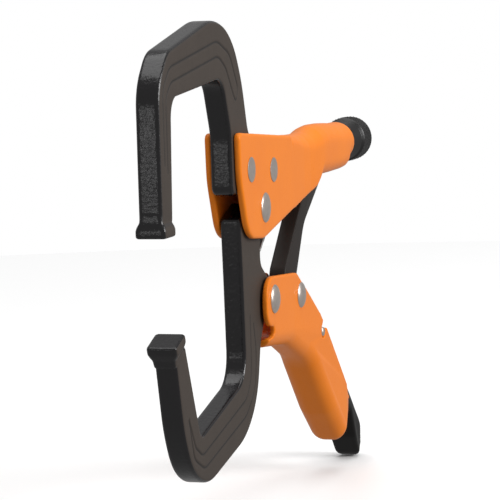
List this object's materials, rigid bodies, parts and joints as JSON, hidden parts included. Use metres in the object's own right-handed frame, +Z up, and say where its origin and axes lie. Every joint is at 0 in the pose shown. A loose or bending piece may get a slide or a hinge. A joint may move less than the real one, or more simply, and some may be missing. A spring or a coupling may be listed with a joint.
{
  "type": "locking c clamp",
  "caption": "Locking C clamp with long-reach forged jaws on a pressed sheet handle, a toggle lever with a release lever, and a knurled adjusting screw.",
  "frame": {"origin": "centre of the fixed pad's clamping face", "axes": "+X along the adjusting screw towards the jaws, +Z up towards the fixed jaw, +Y across the sheet sides of the handle"},
  "size_m": [0.3197, 0.023, 0.2252],
  "materials": {
    "orange_powder_coat": "gloss",
    "black_forging": "satin",
    "black_link_steel": "satin",
    "black_satin_steel": "satin",
    "black_knurled_steel": "gloss",
    "rivet_steel": "satin",
    "spring_steel": "satin",
    "screw_steel": "satin"
  },
  "bodies": {
    "fixed_handle": {"body_shell": "orange_powder_coat", "upper_jaw": "black_forging", "jaw_rivet_front": "rivet_steel", "jaw_rivet_rear": "rivet_steel", "jaw_pivot_rivet": "rivet_steel", "tube_nut": "screw_steel", "tension_spring": "spring_steel", "spring_hook_rear": "spring_steel"},
    "moving_jaw": {"lower_jaw": "black_forging", "spring_hook_front": "spring_steel"},
    "lever": {"lever_shell": "orange_powder_coat", "lever_jaw_rivet": "rivet_steel", "lever_link_rivet": "rivet_steel", "release_lever_pin": "rivet_steel"},
    "link": {"toggle_link": "black_link_steel"},
    "release": {"release_lever": "black_satin_steel"},
    "screw_feed": {"screw_stop_ring": "screw_steel"},
    "screw": {"adjusting_screw": "screw_steel", "screw_knob": "black_knurled_steel"}
  },
  "joints": [
    {"name": "jaw_pivot", "type": "hinge", "parent": "fixed_handle", "child": "moving_jaw", "pos_m": [-0.125, 0, 0.001], "axis": [0, -1, 0], "range_deg": [0, 19.3], "stiffness_Nm_per_rad": 1.5, "springref_deg": -20.05, "deforming": ["tension_spring"]},
    {"name": "lever_pivot", "type": "hinge", "parent": "moving_jaw", "child": "lever", "pos_m": [-0.134, 0, -0.0407], "axis": [0, -1, 0], "range_deg": [-52.34, 0]},
    {"name": "link_pivot", "type": "hinge", "parent": "lever", "child": "link", "pos_m": [-0.1775, 0, -0.0443], "axis": [0, -1, 0], "range_deg": [0, 53.58]},
    {"name": "release_pivot", "type": "hinge", "parent": "lever", "child": "release", "pos_m": [-0.2124, 0, -0.0664], "axis": [0, -1, 0], "range_deg": [0, 4]},
    {"name": "screw_feed_slide", "type": "slide", "parent": "fixed_handle", "child": "screw_feed", "axis": [-1, 0, 0], "range_m": [0, 0.021]},
    {"name": "screw_turn", "type": "hinge", "parent": "screw_feed", "child": "screw", "pos_m": [-0.275, 0, 0.021], "axis": [-1, 0, 0], "range_deg": [0, 5040]}
  ],
  "couplings": [
    {"joint": "lever_pivot", "follows": "jaw_pivot", "ratio": -2.707},
    {"joint": "link_pivot", "follows": "jaw_pivot", "ratio": 2.771},
    {"joint": "screw_feed_slide", "follows": "screw_turn", "m_per_rad": 0.00023873}
  ]
}
